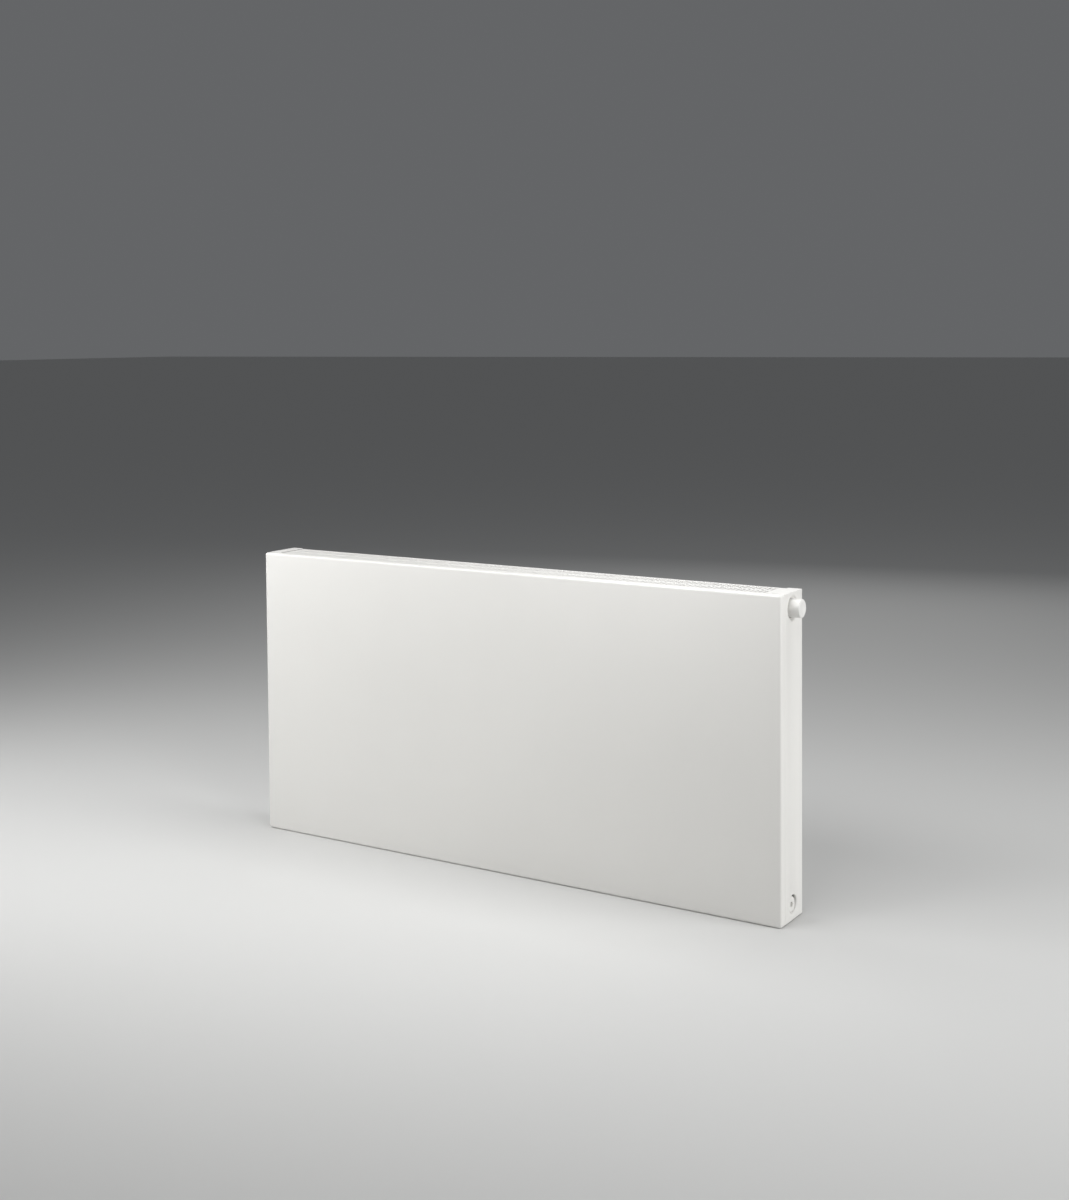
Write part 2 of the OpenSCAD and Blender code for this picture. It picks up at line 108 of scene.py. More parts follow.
WORLD_STRENGTH = 0.16
LIGHTS = (
    ("upper left", (-0.55, -1.1, 1.25), (-0.3, 0, 0.25), (1.2, 0.5), 9.4),
    ("near left", (-0.8, -0.8, 0.7), (-0.5, 0, 0.1), (0.5, 0.5), 2.6),
    ("far left", (-1.9, -0.9, 0.7), (-0.5, 0, 0.05), (0.8, 1.0), 12.5),
    ("near right", (0.45, -0.6, 0.95), (0.45, 0, 0.28), (0.6, 0.3), 4.8),
    ("side", (3.0, 0.2, 0.8), (0.6, 0, 0), (1.6, 1.8), 50),
    ("top", (0, 0.3, 2.4), (0, 0, 0.3), (2.4, 0.9), 22),
    ("rear", (-0.8, 3.6, 1.5), (0, 0, 0), (2.6, 1.8), 12),
)


def add_lights():
    world = bpy.data.worlds.new("soft surround")
    world.use_nodes = True
    background = world.node_tree.nodes["Background"]
    background.inputs["Color"].default_value = (0.80, 0.82, 0.85, 1)
    background.inputs["Strength"].default_value = WORLD_STRENGTH
    scene.world = world
    for name, place, target, size, power in LIGHTS:
        add_area_light(name, place, target, size, power)


def add_floor():
    """Pale floor, big enough to fill the picture up to the horizon."""
    mesh = bpy.data.meshes.new("floor")
    half = 60
    z = SHEET_LOW[2] - 0.5 * MM
    corners = [(-half, -half, z), (half, -half, z), (half, half, z), (-half, half, z)]
    mesh.from_pydata(corners, [], [(0, 1, 2, 3)])
    floor = bpy.data.objects.new("floor", mesh)
    scene.collection.objects.link(floor)
    material = bpy.data.materials.new("pale floor")
    material.use_nodes = True
    shader = material.node_tree.nodes["Principled BSDF"]
    shader.inputs["Base Color"].default_value = (0.62, 0.62, 0.61, 1)
    shader.inputs["Roughness"].default_value = 0.85
    mesh.materials.append(material)


scene.view_settings.view_transform = "Standard"
add_camera()
add_lights()
add_floor()


# ---------------------------------------------------------------- materials

class Nodes:
    """Short ways to build a material's node tree."""

    def __init__(self, name):
        self.material = bpy.data.materials.new(name)
        self.material.use_nodes = True
        self.tree = self.material.node_tree
        self.shader = self.tree.nodes["Principled BSDF"]
        coords = self.tree.nodes.new("ShaderNodeTexCoord")
        self.object_coords = coords.outputs["Object"]

    def link(self, source, target):
        self.tree.links.new(source, target)

    def noise(self, scale, detail=4, roughness=0.55, stretch=(1, 1, 1)):
        mapping = self.tree.nodes.new("ShaderNodeMapping")
        mapping.inputs["Scale"].default_value = stretch
        self.link(self.object_coords, mapping.inputs["Vector"])
        noise = self.tree.nodes.new("ShaderNodeTexNoise")
        noise.inputs["Scale"].default_value = scale
        noise.inputs["Detail"].default_value = detail
        noise.inputs["Roughness"].default_value = roughness
        self.link(mapping.outputs["Vector"], noise.inputs["Vector"])
        return noise.outputs["Fac"]

    def ramp(self, value, low, high, from_low=0.35, from_high=0.65):
        """Maps value from one range to another, clamped."""
        node = self.tree.nodes.new("ShaderNodeMapRange")
        node.inputs["From Min"].default_value = from_low
        node.inputs["From Max"].default_value = from_high
        node.inputs["To Min"].default_value = low
        node.inputs["To Max"].default_value = high
        self.link(value, node.inputs["Value"])
        return node.outputs["Result"]

    def mix_colour(self, factor, first, second):
        node = self.tree.nodes.new("ShaderNodeMix")
        node.data_type = "RGBA"
        self.link(factor, node.inputs["Factor"])
        for socket, colour in ((node.inputs["A"], first), (node.inputs["B"], second)):
            if isinstance(colour, tuple):
                socket.default_value = (*colour, 1)
            else:
                self.link(colour, socket)
        return node.outputs["Result"]

    def bump(self, height, strength, distance, below=None):
        node = self.tree.nodes.new("ShaderNodeBump")
        node.inputs["Strength"].default_value = strength
        node.inputs["Distance"].default_value = distance
        self.link(height, node.inputs["Height"])
        if below is not None:
            self.link(below, node.inputs["Normal"])
        return node.outputs["Normal"]

    def set(self, **inputs):
        for name, value in inputs.items():
            socket = self.shader.inputs[name.replace("_", " ")]
            if isinstance(value, (int, float)):
                socket.default_value = value
            elif isinstance(value, tuple):
                socket.default_value = (*value, 1)
            else:
                self.link(value, socket)


def enamel(name, colour, roughness=0.42, coarse=1.0):
    """Stove enamel on steel: faint orange peel, a little cloudiness and specks of dust in the film."""
    n = Nodes(name)
    cloud = n.noise(2.3, 3, 0.5)
    peel = n.noise(430, 2, 0.5)
    wave = n.noise(7, 2, 0.4, (1, 1, 0.6))
    tone = n.ramp(cloud, 0.0, 1.0)
    darker = tuple(0.972 * c for c in colour)
    n.set(Base_Color=n.mix_colour(tone, darker, colour))
    grain = n.noise(90, 4, 0.6)
    n.set(Roughness=n.ramp(grain, roughness - 0.045, roughness + 0.05))
    waves = n.bump(wave, 0.12 * coarse, 1.2 * MM)
    n.set(Normal=n.bump(peel, 0.10 * coarse, 0.12 * MM, waves))
    n.set(IOR=1.5, Coat_Weight=0.12, Coat_Roughness=0.25)
    return n.material


def metal(name, colour, dark, roughness, scale=260, stretch=(1, 1, 1), bump=0.12):
    """Bare or plated metal with fine machining marks and a little tarnish."""
    n = Nodes(name)
    tarnish = n.ramp(n.noise(38, 5, 0.6), 0.0, 1.0)
    marks = n.noise(scale, 3, 0.6, stretch)
    n.set(Base_Color=n.mix_colour(tarnish, dark, colour), Metallic=1.0)
    n.set(Roughness=n.ramp(marks, roughness - 0.07, roughness + 0.09))
    n.set(Normal=n.bump(marks, bump, 0.06 * MM))
    return n.material


def moulded(name, colour, roughness, grain=900, bump=0.18):
    """Moulded plastic or rubber with a fine spark-eroded grain."""
    n = Nodes(name)
    cloud = n.ramp(n.noise(30, 3, 0.5), 0.0, 1.0)
    n.set(Base_Color=n.mix_colour(cloud, tuple(0.95 * c for c in colour), colour))
    texture = n.noise(grain, 3, 0.6)
    n.set(Roughness=n.ramp(texture, roughness - 0.05, roughness + 0.06))
    n.set(Normal=n.bump(texture, bump, 0.05 * MM))
    return n.material


MATERIALS = {
    "enamel_white": enamel("stove enamel", (0.800, 0.790, 0.762)),
    "galvanised_steel": metal("galvanised", (0.62, 0.63, 0.64), (0.47, 0.48, 0.50), 0.42, 60),
    "brass": metal("machined brass", (0.80, 0.60, 0.28), (0.62, 0.45, 0.20), 0.28, 500, (1, 8, 8)),
    "nickel_plate": metal("satin nickel", (0.74, 0.72, 0.68), (0.60, 0.58, 0.55), 0.24, 500, (1, 8, 8)),
    "stainless_steel": metal(
        "ground stainless", (0.66, 0.66, 0.67), (0.52, 0.52, 0.54), 0.26, 500, (1, 8, 8)),
    "rubber": moulded("black rubber", (0.022, 0.022, 0.024), 0.66, 700, 0.25),
    "grey_plastic": moulded("grey plastic", (0.14, 0.15, 0.17), 0.45),
    "white_plastic": moulded("white plastic", (0.815, 0.808, 0.785), 0.38),
}


# ---------------------------------------------------------------- mesh helpers

def add_piece(name, points, faces, slot, body, smooth=40, closed=True):
    """A new mesh piece that rides on a CAD body. Edges sharper than smooth degrees stay sharp."""
    mesh = bpy.data.meshes.new(name)
    mesh.from_pydata([tuple(p) for p in points], [], faces)
    tool = bmesh.new()
    tool.from_mesh(mesh)
    bmesh.ops.remove_doubles(tool, verts=tool.verts, dist=0.002 * MM)
    if closed:
        bmesh.ops.recalc_face_normals(tool, faces=tool.faces)
    limit = radians(smooth)
    for face in tool.faces:
        face.smooth = True
    for edge in tool.edges:
        edge.smooth = len(edge.link_faces) == 2 and edge.calc_face_angle() < limit
    tool.to_mesh(mesh)
    tool.free()
    mesh.materials.append(MATERIALS[slot])
    piece = bpy.data.objects.new(name, mesh)
    scene.collection.objects.link(piece)
    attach(piece, body)
    return piece


def ring_faces(ring_count, side_count, loop=False):
    """Quads between consecutive rings of side_count points each; loop joins the last ring to the first."""
    faces = []
    for k in range(ring_count if loop else ring_count - 1):
        a = k * side_count
        b = ((k + 1) % ring_count) * side_count
        for j in range(side_count):
            j2 = (j + 1) % side_count
            faces.append((a + j, a + j2, b + j2, b + j))
    return faces


def loft(rings, loop=False, cap_first=False, cap_last=False):
    """Points and faces of a skin over rings that all have the same number of points."""
    count = len(rings[0])
    points = [p for ring in rings for p in ring]
    faces = ring_faces(len(rings), count, loop)
    if cap_first:
        faces.append(tuple(range(count - 1, -1, -1)))
    if cap_last:
        last = (len(rings) - 1) * count
        faces.append(tuple(range(last, last + count)))
    return points, faces


def join(parts):
    """Several (points, faces) pairs as one."""
    points = []
    faces = []
    for part_points, part_faces in parts:
        base = len(points)
        points += list(part_points)
        faces += [tuple(base + i for i in face) for face in part_faces]
    return points, faces


def arc(start, end, steps):
    """Angles from start to end, in radians, both given in degrees."""
    return [radians(start + (end - start) * k / steps) for k in range(steps + 1)]


def rounded_rectangle(half_u, half_v, r, steps=6):
    """Corners of a rectangle about the origin as arcs, counter-clockwise."""
    points = []
    for su, sv, first in ((1, 1, 0), (-1, 1, 90), (-1, -1, 180), (1, -1, 270)):
        for a in arc(first, first + 90, steps):
            points.append((su * (half_u - r) + r * cos(a), sv * (half_v - r) + r * sin(a)))
    return points


def lathe(profile, x_sign=1, z=None, sides=96, shape=None):
    """Turns (x, r) pairs about the hub axis. shape(angle, k) scales the radius of profile point k."""
    z = HUB_Z if z is None else z
    rings = []
    for k, (x, r) in enumerate(profile):
        ring = []
        for j in range(sides):
            a = 2 * pi * j / sides
            rr = r * shape(a, k) if shape else r
            ring.append((x_sign * x, HUB_Y + rr * cos(a), z + rr * sin(a)))
        rings.append(ring)
    return rings


def bevelled(points, r, steps=4):
    """An open 2-D path with each inner corner replaced by an arc of about radius r."""
    out = [points[0]]
    for a, b, c in zip(points, points[1:], points[2:]):
        va = Vector(a) - Vector(b)
        vc = Vector(c) - Vector(b)
        cut = min(r, 0.49 * va.length, 0.49 * vc.length)
        p = Vector(b) + va.normalized() * cut
        q = Vector(b) + vc.normalized() * cut
        for k in range(steps + 1):
            t = k / steps
            out.append(tuple((1 - t) ** 2 * p + 2 * t * (1 - t) * Vector(b) + t ** 2 * q))
    out.append(points[-1])
    return out


def thick_strip(path, thickness):
    """Closed outline of a sheet that follows an open 2-D path, half its thickness on each side."""
    left = []
    right = []
    for k, p in enumerate(path):
        before = Vector(path[max(k - 1, 0)])
        after = Vector(path[min(k + 1, len(path) - 1)])
        along = (after - before).normalized()
        normal = Vector((-along.y, along.x)) * thickness / 2
        left.append(tuple(Vector(p) + normal))
        right.append(tuple(Vector(p) - normal))
    return left + right[::-1]


# ---------------------------------------------------------------- front sheet

def build_front_sheet():
    """Flat sheet with folded returns; each ring is (inset from the outline, y)."""
    fold_r = 4 * MM
    sheet_t = 1 * MM
    corner_r = 4.6 * MM
    half_x = END_X
    half_z = TOP_Z
    y0 = FRONT_Y
    y1 = SHEET_HIGH[1]

    def ring(inset, y):
        outline = rounded_rectangle(half_x - inset, half_z - inset, max(corner_r - inset, 0.5 * MM))
        return [(u, y, v) for u, v in outline]

    outer = [ring(fold_r * (1 - cos(a)), y0 + fold_r * (1 - sin(a))) for a in arc(0, 90, 8)]
    inner_r = fold_r - sheet_t
    inner = [ring(sheet_t + inner_r * (1 - cos(a)), y0 + fold_r - inner_r * sin(a)) for a in arc(90, 0, 8)]
    edge = [ring(0.7 * sheet_t, y1), ring(0.3 * sheet_t, y1), ring(0, y1 - 0.3 * MM)]
    hold = fold_r + 2 * MM
    rings = ([ring(hold, y0 + sheet_t)] + inner + [ring(sheet_t, y1 - 0.3 * MM)] + edge
             + outer + [ring(hold, y0)])
    points, faces = loft(rings, cap_first=True, cap_last=True)
    piece = add_piece("front_sheet_skin", points, faces, "enamel_white", "root")
    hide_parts("front_sheet")


# ---------------------------------------------------------------- side covers

DISH_R = 22.5 * MM
DISH_DEPTH = 4 * MM
CAP_HOLE_R = 18 * MM
PLUG_HOLE_R = 17.5 * MM
PLUG_HOLE_Z = -HUB_Z + 1.5 * MM


def build_side_cover(sign, node, holes):
    """Folded cover: a tray whose rings run from the flanges' edges to its face, with punched holes."""
    t = 1 * MM
    bend = 1.6 * MM
    corner = 2.2 * MM
    y0 = COVER_LOW[1]
    y1 = COVER_HIGH[1]
    z0 = COVER_LOW[2]
    z1 = COVER_HIGH[2]
    cy = (y0 + y1) / 2
    cz = (z0 + z1) / 2
    flange = 9 * MM
    top_flange = 26 * MM

    def ring(inset, depth, top_depth=None):
        r = max(corner - inset, 0.4 * MM)
        outline = rounded_rectangle((y1 - y0) / 2 - inset, (z1 - z0) / 2 - inset, r)
        points = []
        for u, v in outline:
            on_top = v > (z1 - z0) / 2 - inset - 0.2 * MM and abs(u) < (y1 - y0) / 2 - corner + 0.2 * MM
            d = top_depth if (top_depth is not None and on_top) else depth
            points.append((sign * (END_X - d), cy + u, cz + v))
        return points

    inner_bend = bend - t
    outer = [ring(bend * (1 - sin(a)), bend * (1 - cos(a))) for a in arc(90, 0, 5)]
    inner = [ring(t + inner_bend * (1 - sin(a)), t + inner_bend * (1 - cos(a))) for a in arc(0, 90, 5)]
    rings = ([ring(t, flange, top_flange), ring(0.0, flange, top_flange)] + outer + [ring(bend + 1 * MM, 0)])
    front_points, front_faces = loft(rings, cap_last=True)
    back = [ring(bend + 1 * MM, t)] + inner + [ring(t, flange, top_flange)]
    back_points, back_faces = loft(back, cap_first=True)
    points, faces = join([(front_points, front_faces), (back_points, back_faces)])
    piece = add_piece(f"{node}_sheet", points, faces, "enamel_white", "root")
    for k, (r, z) in enumerate(holes):
        punch(piece, sign, r, z, f"{node}_punch_{k}")
    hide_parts(node)
    return piece


def punch(piece, sign, r, z, name):
    """Cuts a round hole through a cover's face and leaves a small rounded edge."""
    rings = lathe([(END_X - 4 * MM, r), (END_X + 3 * MM, r)], sign, z, 72)
    points, faces = loft(rings, cap_first=True, cap_last=True)
    mesh = bpy.data.meshes.new(name)
    mesh.from_pydata(points, [], faces)
    tool = bmesh.new()
    tool.from_mesh(mesh)
    bmesh.ops.recalc_face_normals(tool, faces=tool.faces)
    tool.to_mesh(mesh)
    tool.free()
    cutter = bpy.data.objects.new(name, mesh)
    scene.collection.objects.link(cutter)
    cut = piece.modifiers.new("punch", "BOOLEAN")
    cut.operation = "DIFFERENCE"
    cut.solver = "EXACT"
    cut.object = cutter
    bpy.context.view_layer.update()
    result = bpy.data.meshes.new_from_object(piece.evaluated_get(bpy.context.evaluated_depsgraph_get()))
    piece.modifiers.clear()
    piece.data = result
    bpy.data.objects.remove(cutter)
    tool = bmesh.new()
    tool.from_mesh(result)
    rim = [e for e in tool.edges if all(
        abs(math.hypot(v.co.y - HUB_Y, v.co.z - z) - r) < 0.05 * MM and abs(abs(v.co.x) - END_X) < 0.05 * MM
        for v in e.verts)]
    bmesh.ops.bevel(tool, geom=rim, offset=0.5 * MM, segments=3, affect="EDGES", profile=0.5)
    for face in tool.faces:
        face.smooth = True
    for edge in tool.edges:
        edge.smooth = len(edge.link_faces) == 2 and edge.calc_face_angle() < radians(30)
    tool.to_mesh(result)
    tool.free()


def build_valve_dish():
    """Dished wall from the cover's face down to the hole that the cap comes through."""
    face = [(0, DISH_R + 1.2 * MM), (-0.15 * MM, DISH_R + 0.5 * MM), (-0.8 * MM, DISH_R - 0.4 * MM),
            (-2.6 * MM, CAP_HOLE_R + 2.6 * MM), (-3.6 * MM, CAP_HOLE_R + 1.6 * MM),
            (-DISH_DEPTH, CAP_HOLE_R + 0.9 * MM), (-DISH_DEPTH, CAP_HOLE_R + 0.2 * MM),
            (-DISH_DEPTH - 0.4 * MM, CAP_HOLE_R), (-DISH_DEPTH - 1 * MM, CAP_HOLE_R)]
    back = [(x - 1 * MM, r + 0.3 * MM) for x, r in reversed(face[:-2])]
    profile = [(END_X + x, r) for x, r in face + back]
    points, faces = loft(lathe(profile), loop=True)
    add_piece("valve_dish", points, faces, "enamel_white", "root")


def build_opening_collar(name, sign, z):
    """Edge of a plug opening, drawn inwards from the cover's face."""
    r = PLUG_HOLE_R
    face = [(-0.1 * MM, r), (-0.4 * MM, r - 0.35 * MM), (-1 * MM, r - 0.75 * MM), (-2 * MM, r - 1.1 * MM),
            (-3.6 * MM, r - 1.3 * MM)]
    back = [(-3.6 * MM, r - 0.3 * MM), (-1.6 * MM, r)]
    profile = [(END_X + x, r) for x, r in face + back]
    points, faces = loft(lathe(profile, sign, z), loop=True)
    add_piece(name, points, faces, "enamel_white", "root")


# ---------------------------------------------------------------- top grille

def build_top_grille():
    """Slotted plate: every slot is a capsule with a rolled lip, in two rows, inside a folded frame."""
    top = GRILLE_HIGH[2]
    t = 1 * MM
    pitch = 9 * MM
    half_slot = 2.1 * MM
    lip = 2.4 * MM
    x_end = GRILLE_HIGH[0]
    y0 = GRILLE_LOW[1]
    y1 = GRILLE_HIGH[1]
    count = int(2 * (x_end - 12 * MM) / pitch)
    field_x = count * pitch / 2
    mid = (y0 + y1) / 2
    rows = ((y0 + 3 * MM, mid - 0.8 * MM), (mid + 0.8 * MM, y1 - 3.4 * MM))
    steps = 5
    parts = []

    def capsule(cx, a, b, r):
        """Points of a slot from y = a to b with round ends, and where each lands on its cell's edge."""
        points = []
        for end, first in ((b - half_slot - 1.2 * MM, 0), (a + half_slot + 1.2 * MM, 180)):
            for angle in arc(first, first + 180, steps):
                points.append((cx + r * cos(angle), end + r * sin(angle)))
        return points

    def cell_edge(cx, a, b):
        points = []
        for end, far, first in ((b - half_slot - 1.2 * MM, b, 0), (a + half_slot + 1.2 * MM, a, 180)):
            for angle in arc(first, first + 180, steps):
                c, s = cos(angle), sin(angle)
                if abs(s) < 0.01:
                    points.append((cx + math.copysign(pitch / 2, c), end))
                else:
                    u = max(-1.0, min(1.0, 1.6 * c))
                    points.append((cx + u * pitch / 2, far if abs(s) > 0.5 else end + 0.6 * (far - end)))
        return points

    for a, b in rows:
        for k in range(count):
            cx = -field_x + (k + 0.5) * pitch
            edge = cell_edge(cx, a, b)
            rings = [[(u, v, top) for u, v in edge],
                     [(u, v, top) for u, v in capsule(cx, a, b, half_slot + 0.6 * MM)],
                     [(u, v, top - 0.18 * MM) for u, v in capsule(cx, a, b, half_slot + 0.18 * MM)],
                     [(u, v, top - 0.6 * MM) for u, v in capsule(cx, a, b, half_slot)],
                     [(u, v, top - lip) for u, v in capsule(cx, a, b, half_slot)],
                     [(u, v, top - lip) for u, v in capsule(cx, a, b, half_slot + 0.7 * MM)],
                     [(u, v, top - t) for u, v in capsule(cx, a, b, half_slot + 0.7 * MM)],
                     [(u, v, top - t) for u, v in edge]]
            parts.append(loft(rings))
    strips = [(-x_end + 1 * MM, x_end - 1 * MM, y0 + 1 * MM, rows[0][0]),
              (-x_end + 1 * MM, x_end - 1 * MM, rows[0][1], rows[1][0]),
              (-x_end + 1 * MM, x_end - 1 * MM, rows[1][1], y1 - 1 * MM)]
    for a, b in rows:
        strips += [(-x_end + 1 * MM, -field_x, a, b), (field_x, x_end - 1 * MM, a, b)]
    for xa, xb, ya, yb in strips:
        for z, turn in ((top, 1), (top - t, -1)):
            corners = [(xa, ya, z), (xb, ya, z), (xb, yb, z), (xa, yb, z)]
            parts.append((corners[::turn], [(0, 1, 2, 3)]))
    drop = 8 * MM
    outline = rounded_rectangle(x_end, (y1 - y0) / 2, 1 * MM, 3)
    frame_rings = []
    for inset, z in ((1, 0), (0.3, -0.15), (0, -0.7), (0, None), (1, None), (1, -1)):
        ring = []
        for u, v in outline:
            front = v < 0
            z_here = top + z * MM if z is not None else top - (drop if front else 3 * MM)
            su = u - math.copysign(inset * MM, u)
            sv = v - math.copysign(inset * MM, v)
            ring.append((su, mid + sv, z_here))
        frame_rings.append(ring)
    parts.append(loft(frame_rings))
    points, faces = join(parts)
    piece = add_piece("top_grille_sheet", points, faces, "enamel_white", "grille", closed=False)
    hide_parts("top_grille")


# ---------------------------------------------------------------- rear water panel, as seen from behind

CHANNEL_PITCH = 33.3 * MM
CHANNELS = 34


def smooth_step(t):
    t = max(0.0, min(1.0, t))
    return t * t * (3 - 2 * t)


def build_rear_skin():
    """Pressed skin as a height field: channels that run into the two headers, spot welds between them."""
    y_seam = SKIN_LOW[1]
    t = 1.2 * MM
    crest = SKIN_HIGH[1] - y_seam - t
    half_x = SKIN_HIGH[0]
    half_z = SKIN_HIGH[2]
    header_half = 16 * MM
    weld_r = 4 * MM
    weld_z = [k * 60 * MM for k in range(-3, 4)]

    def bump(distance, half_width, slope):
        return smooth_step((half_width - abs(distance)) / slope)

    def height(x, z):
        nearest = round(x / CHANNEL_PITCH - 0.5) + 0.5
        nearest = max(-(CHANNELS - 1) / 2, min((CHANNELS - 1) / 2, nearest))
        channel = bump(x - nearest * CHANNEL_PITCH, 12 * MM, 6 * MM) if abs(z) < HUB_Z else 0
        header = bump(abs(z) - HUB_Z, header_half, 6 * MM)
        header *= bump(x, half_x - 5 * MM, 7 * MM)
        rise = 1 - (1 - channel) * (1 - header)
        seam = math.floor(x / CHANNEL_PITCH) + round(x / CHANNEL_PITCH - math.floor(x / CHANNEL_PITCH))
        near = min(math.hypot(x - seam * CHANNEL_PITCH, z - w) for w in weld_z)
        weld = 0.35 * MM * smooth_step(1 - near / weld_r) if abs(seam) < CHANNELS / 2 else 0
        return crest * rise - weld

    columns = [-half_x, -half_x + 0.6 * MM]
    columns += [-half_x + 2 * MM + k * 1.85 * MM for k in range(int((2 * half_x - 3 * MM) / (1.85 * MM)))]
    columns += [half_x - 0.6 * MM, half_x]
    lows = [0.0]
    z = 0.0
    while z < half_z - 0.1 * MM:
        near_weld = min(abs(z - w) for w in weld_z) < 7 * MM
        near_header = z > HUB_Z - header_half - 4 * MM
        z = min(half_z, z + (1.6 * MM if near_header else 2.2 * MM if near_weld else 12 * MM))
        lows.append(z)
    rows = [-z for z in reversed(lows[1:])] + lows
    points = []
    for z in rows:
        for x in columns:
            points.append((x, y_seam + t + height(x, z), z))
    wide = len(columns)
    faces = []
    for i in range(len(rows) - 1):
        for j in range(wide - 1):
            a = i * wide + j
            faces.append((a, a + wide, a + wide + 1, a + 1))
    piece = add_piece("rear_panel_pressing", points, faces, "enamel_white", "root", smooth=60, closed=False)
    thicken = piece.modifiers.new("sheet", "SOLIDIFY")
    thicken.thickness = t
    thicken.offset = -1
    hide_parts("rear_panel_outer_skin")


# ---------------------------------------------------------------- hand cap, plugs, lugs and welds

def build_valve_cap():
    """Cap with fine grip flutes on its side, rounded shoulders and a shallow dished end."""
    r = (CAP_HIGH[2] - CAP_LOW[2]) / 2
    x0 = CAP_LOW[0]
    x1 = CAP_HIGH[0]
    flutes = 30
    sides = flutes * 10
    wall = 1.6 * MM
    shoulder = 2.4 * MM
    outer = [(x0, r - 0.5 * MM), (x0 + 0.4 * MM, r), (x0 + 6 * MM, r), (x0 + 7 * MM, r),
             (x1 - shoulder - 1.5 * MM, r)]
    outer += [(x1 - shoulder * (1 - sin(a)), r - shoulder * (1 - cos(a))) for a in arc(0, 90, 7)]
    outer += [(x1, 0.66 * r), (x1 - 0.1 * MM, 0.62 * r), (x1 - 0.5 * MM, 0.56 * r), (x1 - 0.8 * MM, 0.50 * r),
              (x1 - 0.9 * MM, 0.42 * r), (x1 - 0.95 * MM, 0.2 * r)]
    inner = [(x1 - 2.6 * MM, 0.2 * r), (x1 - 2.6 * MM, r - wall - 1 * MM), (x1 - 4 * MM, r - wall),
             (x0 + 14 * MM, r - wall), (x0 + 0.3 * MM, r - wall)]

    def shape(angle, k):
        depth = {3: 0.25, 4: 1.0, 5: 0.85, 6: 0.6, 7: 0.3}.get(k, 0.0)
        wave = 0.5 - 0.5 * cos(flutes * angle)
        return 1 - 0.012 * depth * wave ** 3

    rings = lathe(outer, sides=sides, shape=shape)
    points, faces = loft(rings, cap_last=True)
    back_points, back_faces = loft(lathe(inner, sides=sides), cap_first=True)
    rim = loft([lathe([outer[0]], sides=sides)[0], lathe([inner[-1]], sides=sides)[0]])
    points, faces = join([(points, faces), (back_points, back_faces), rim])
    piece = add_piece("valve_hand_cap", points, faces, "white_plastic", "valve_cap", smooth=50)
    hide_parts("valve_cap")
    pusher = [(x1 - 2.4 * MM, 4 * MM), (x1 - 3.2 * MM, 3.9 * MM), (END_X + 10.6 * MM, 3.6 * MM),
              (END_X + 10.1 * MM, 3.0 * MM)]
    points, faces = loft(lathe(pusher, sides=48), cap_first=True, cap_last=True)
    add_piece("valve_cap_pusher", points, faces, "white_plastic", "valve_cap")


def build_blind_plug(sign, node):
    """Round-headed plug with a hexagon socket."""
    head_x = PLUG_HIGH[0]
    r = (PLUG_HIGH[2] - PLUG_LOW[2]) / 2
    flange_x = head_x - 5 * MM
    z = (PLUG_LOW[2] + PLUG_HIGH[2]) / 2
    hex_r = 5.6 * MM
    outer = [(PLUG_LOW[0], 8.2 * MM), (PLUG_LOW[0] + 1 * MM, 9.2 * MM), (flange_x - 1.6 * MM, 9.2 * MM),
             (flange_x, 9.2 * MM), (flange_x, r - 0.3 * MM), (flange_x + 0.4 * MM, r), (head_x - 1.4 * MM, r)]
    outer += [(head_x - 1.4 * MM * (1 - sin(a)), r - 1.4 * MM * (1 - cos(a))) for a in arc(10, 90, 5)]
    rim = len(outer)
    outer += [(head_x, hex_r + 0.7 * MM), (head_x - 0.3 * MM, hex_r + 0.1 * MM), (head_x - 0.9 * MM, hex_r),
              (head_x - 6 * MM, hex_r), (head_x - 6.8 * MM, 0.5 * hex_r)]

    def shape(angle, k):
        if k <= rim or k == len(outer) - 1:
            return 1
        sixth = pi / 3
        return cos(pi / 6) / cos((angle % sixth) - pi / 6)

    points, faces = loft(lathe(outer, sign, z, 96, shape), cap_first=True, cap_last=True)
    piece = add_piece(f"{node}_turned", points, faces, "enamel_white", "root")
    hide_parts(node)


def build_lug(node):
    """Bent strap with rounded folds and four spot welds on its feet."""
    low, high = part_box(node)
    t = 2 * MM
    cx = (low[0] + high[0]) / 2
    half = (high[0] - low[0]) / 2
    leg = 15 * MM
    y_foot = low[1] + t / 2
    y_back = high[1] - t / 2
    path = bevelled([(cx - half, y_foot), (cx - leg, y_foot), (cx - leg, y_back),
                     (cx + leg, y_back), (cx + leg, y_foot), (cx + half, y_foot)], 2.2 * MM, 5)
    rings = []
    edge = 0.35 * MM
    for z, shrink in ((low[2], edge), (low[2] + edge, 0), (high[2] - edge, 0), (high[2], edge)):
        rings.append([(u, v, z) for u, v in thick_strip(path, t - 2 * shrink)])
    count = len(rings[0])
    points, faces = loft(rings)
    half_count = count // 2
    for ring, flip in ((0, 1), (len(rings) - 1, -1)):
        base = ring * count
        for j in range(half_count - 1):
            quad = (base + j, base + j + 1, base + count - 2 - j, base + count - 1 - j)
            faces.append(quad[::flip])
    piece = add_piece(f"{node}_strap", points, faces, "enamel_white", "root")
    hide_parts(node)
    for k, (sx, sz) in enumerate(((-1, -1), (-1, 1), (1, -1), (1, 1))):
        centre = Vector((cx + sx * (half - 5.5 * MM), low[1] + t, (low[2] + high[2]) / 2 + sz * 9 * MM))
        weld_dimple(f"{node}_weld_{k}", centre)


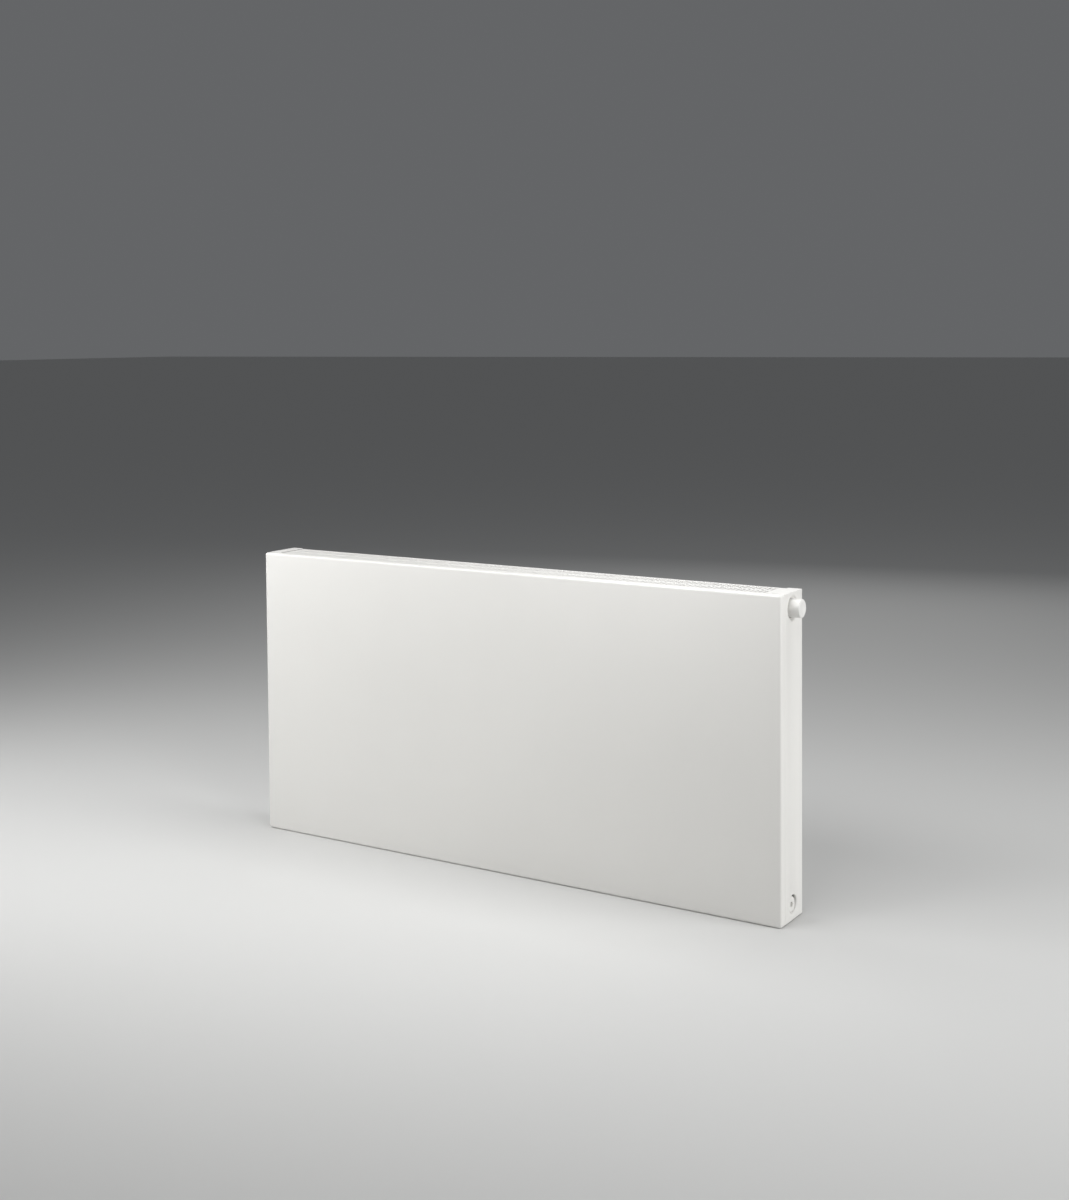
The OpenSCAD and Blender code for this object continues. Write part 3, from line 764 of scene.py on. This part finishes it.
def weld_dimple(name, centre):
    """Low round weld mark standing a little proud of a strap's foot."""
    rings = []
    sides = 24
    for r, out in ((3.4, -0.3), (3.0, 0.12), (2.4, 0.3), (1.7, 0.22), (0.9, 0.12)):
        rings.append([(centre.x + r * MM * cos(2 * pi * j / sides), centre.y + out * MM,
                       centre.z + r * MM * sin(2 * pi * j / sides)) for j in range(sides)])
    points, faces = loft(rings, cap_first=True, cap_last=True)
    add_piece(name, points, faces, "enamel_white", "root")


def weld_bead(name, centre, axis, r, bead=1.5 * MM):
    """Rippled weld bead round a tube of radius r where it meets a panel."""
    axis = Vector(axis)
    side = axis.orthogonal().normalized()
    other = axis.cross(side)
    sides = 120
    section = 10
    rings = []
    for j in range(sides):
        a = 2 * pi * j / sides
        out = side * cos(a) + other * sin(a)
        swell = bead * (1 + 0.16 * sin(a * 26) + 0.08 * sin(a * 7 + 1))
        rings.append([Vector(centre) + out * (r + swell * cos(b)) + axis * (swell * sin(b))
                      for b in (2 * pi * i / section for i in range(section))])
    points, faces = loft(rings, loop=True)
    add_piece(name, points, faces, "enamel_white", "root", smooth=80)


def build_welds():
    """Beads where the tees, the sockets and the valve housing are welded on."""
    for node, r in (("top_left_tee", 11 * MM), ("bottom_left_tee", 11 * MM), ("return_tee", 11 * MM),
                    ("valve_housing", 11 * MM)):
        low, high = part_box(node)
        if node == "valve_housing":
            x = high[0] - 25.4 * MM
        else:
            x = math.copysign(RETURN_X, low[0])
        z = HUB_Z if node in ("top_left_tee", "valve_housing") else -HUB_Z
        for label, y, face in (("front", low[1], 1), ("rear", high[1], -1)):
            weld_bead(f"{node}_bead_{label}", (x, y + face * 0.6 * MM, z), (0, 1, 0), r)
    low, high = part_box("connection_bracket")
    supply_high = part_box("supply_socket")[1]
    for label, x in (("supply", SUPPLY_X), ("return", RETURN_X)):
        weld_bead(f"{label}_socket_bead", (x, HUB_Y, low[2] - 0.2 * MM), (0, 0, 1), 13.5 * MM, 1.1 * MM)
    weld_bead("feed_pipe_bead", (SUPPLY_X, HUB_Y, supply_high[2]), (0, 0, 1), 8 * MM, 1.3 * MM)


def build_socket_thread(name, x):
    """Female pipe thread, a helical ridge just inside a bottom socket's bore."""
    pitch = 1.814 * MM
    r = 9.3 * MM
    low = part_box("supply_socket")[0][2]
    turns = 7.5
    per_turn = 48
    rings = []
    steps = int(turns * per_turn)
    for k in range(steps + 1):
        a = 2 * pi * k / per_turn
        z = low + 0.9 * MM + pitch * k / per_turn
        grow = min(1, k / 12, (steps - k) / 12)
        tip = r - 0.75 * MM * max(grow, 0.02)
        foot = r + 0.05 * MM
        section = ((foot, z - 0.7 * MM), (tip, z - 0.12 * MM), (tip, z + 0.12 * MM), (foot, z + 0.7 * MM))
        rings.append([(x + rr * cos(a), HUB_Y + rr * sin(a), zz) for rr, zz in section])
    points, faces = loft(rings, cap_first=True, cap_last=True)
    add_piece(name, points, faces, "enamel_white", "root", smooth=30)


def build_all():
    build_front_sheet()
    build_side_cover(1, "side_cover_right", ((DISH_R + 1.2 * MM, HUB_Z), (PLUG_HOLE_R, PLUG_HOLE_Z)))
    build_side_cover(-1, "side_cover_left", ((PLUG_HOLE_R, HUB_Z), (PLUG_HOLE_R, PLUG_HOLE_Z)))
    build_valve_dish()
    build_opening_collar("right_lower_collar", 1, PLUG_HOLE_Z)
    build_opening_collar("left_lower_collar", -1, PLUG_HOLE_Z)
    build_opening_collar("left_upper_collar", -1, HUB_Z)
    build_top_grille()
    build_rear_skin()
    build_valve_cap()
    build_blind_plug(1, "blind_plug_right")
    build_blind_plug(-1, "blind_plug_left")
    for lug in ("lug_top_left", "lug_top_right", "lug_bottom_left", "lug_bottom_right"):
        build_lug(lug)
    build_welds()
    build_socket_thread("return_thread", RETURN_X)
    build_socket_thread("supply_thread", SUPPLY_X)


build_all()

SLOT_OF = {s["node"]: s["material_slot"] for s in frame["record"]["subparts"]}


def dress_cad_nodes():
    for name, node in frame["nodes"].items():
        if name in SLOT_OF:
            node.data.materials.clear()
            node.data.materials.append(MATERIALS[SLOT_OF[name]])


dress_cad_nodes()
